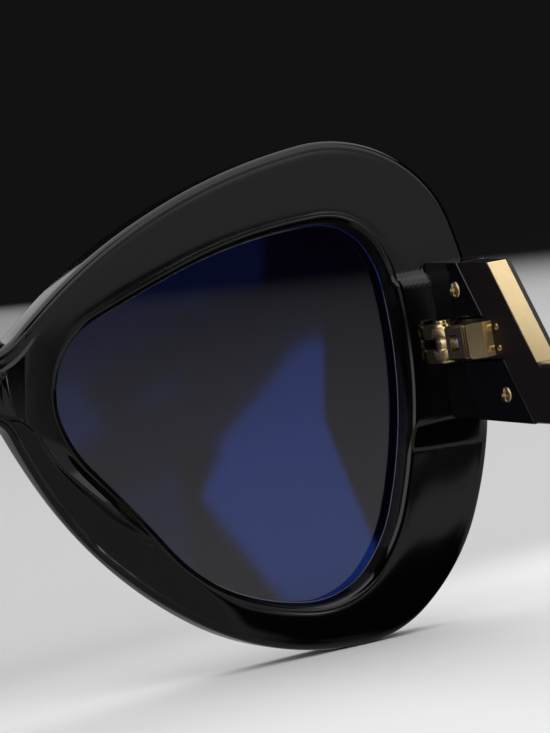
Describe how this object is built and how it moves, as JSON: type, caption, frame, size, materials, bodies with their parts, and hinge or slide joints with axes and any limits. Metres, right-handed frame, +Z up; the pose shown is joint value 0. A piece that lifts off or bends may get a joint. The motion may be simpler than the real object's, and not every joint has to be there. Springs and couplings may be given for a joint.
{
  "type": "sunglasses",
  "caption": "Butterfly sunglasses: a thick glossy bent front with tinted lenses, tall end pieces, sprung hinges and folding temples with low arms.",
  "frame": {"origin": "on the table, midway between the two sides and between the front and the temple tips", "axes": "+Z up, -Y out of the front of the lenses, +Y towards the temple tips, -X to the wearer's right"},
  "size_m": [0.1392, 0.1546, 0.0672],
  "materials": {
    "acetate": "polished",
    "lens": "grey tint with a blue coating on the back",
    "gilt_metal": "polished, pale gilt",
    "lacquered_metal": "black lacquer",
    "spring_steel": "bright wire",
    "core_wire": "plain wire"
  },
  "bodies": {
    "front": {"front_frame": "acetate", "lens_right": "lens", "lens_left": "lens", "nose_pad_right": "acetate", "nose_pad_left": "acetate", "end_block_right": "acetate", "end_block_left": "acetate", "end_plate_right": "lacquered_metal", "end_plate_left": "lacquered_metal", "end_screws_right": "gilt_metal", "end_screws_left": "gilt_metal", "hinge_front_right": "gilt_metal", "hinge_front_left": "gilt_metal", "hinge_screw_right": "gilt_metal", "hinge_screw_left": "gilt_metal"},
    "knuckle_right": {"hinge_knuckle_right": "gilt_metal", "hinge_anchor_right": "gilt_metal", "hinge_spring_right": "spring_steel"},
    "temple_right": {"temple_right": "acetate", "temple_trim_right": "gilt_metal", "temple_core_right": "core_wire", "hinge_housing_right": "gilt_metal", "hinge_rivets_right": "gilt_metal"},
    "knuckle_left": {"hinge_knuckle_left": "gilt_metal", "hinge_anchor_left": "gilt_metal", "hinge_spring_left": "spring_steel"},
    "temple_left": {"temple_left": "acetate", "temple_trim_left": "gilt_metal", "temple_core_left": "core_wire", "hinge_housing_left": "gilt_metal", "hinge_rivets_left": "gilt_metal"}
  },
  "joints": [
    {"name": "fold_right", "type": "hinge", "parent": "front", "child": "knuckle_right", "pos_m": [-0.06145, -0.05969, 0.038], "axis": [0, 0, -1], "range_deg": [0, 90]},
    {"name": "flex_right", "type": "slide", "parent": "knuckle_right", "child": "temple_right", "axis": [0, 1, 0], "range_m": [0, 0.0012], "stiffness_N_per_m": 4000, "springref_m": -0.0004, "deforming": ["hinge_spring_right"]},
    {"name": "fold_left", "type": "hinge", "parent": "front", "child": "knuckle_left", "pos_m": [0.06145, -0.05969, 0.038], "axis": [0, 0, 1], "range_deg": [0, 78]},
    {"name": "flex_left", "type": "slide", "parent": "knuckle_left", "child": "temple_left", "axis": [0, 1, 0], "range_m": [0, 0.0012], "stiffness_N_per_m": 4000, "springref_m": -0.0004, "deforming": ["hinge_spring_left"]}
  ]
}
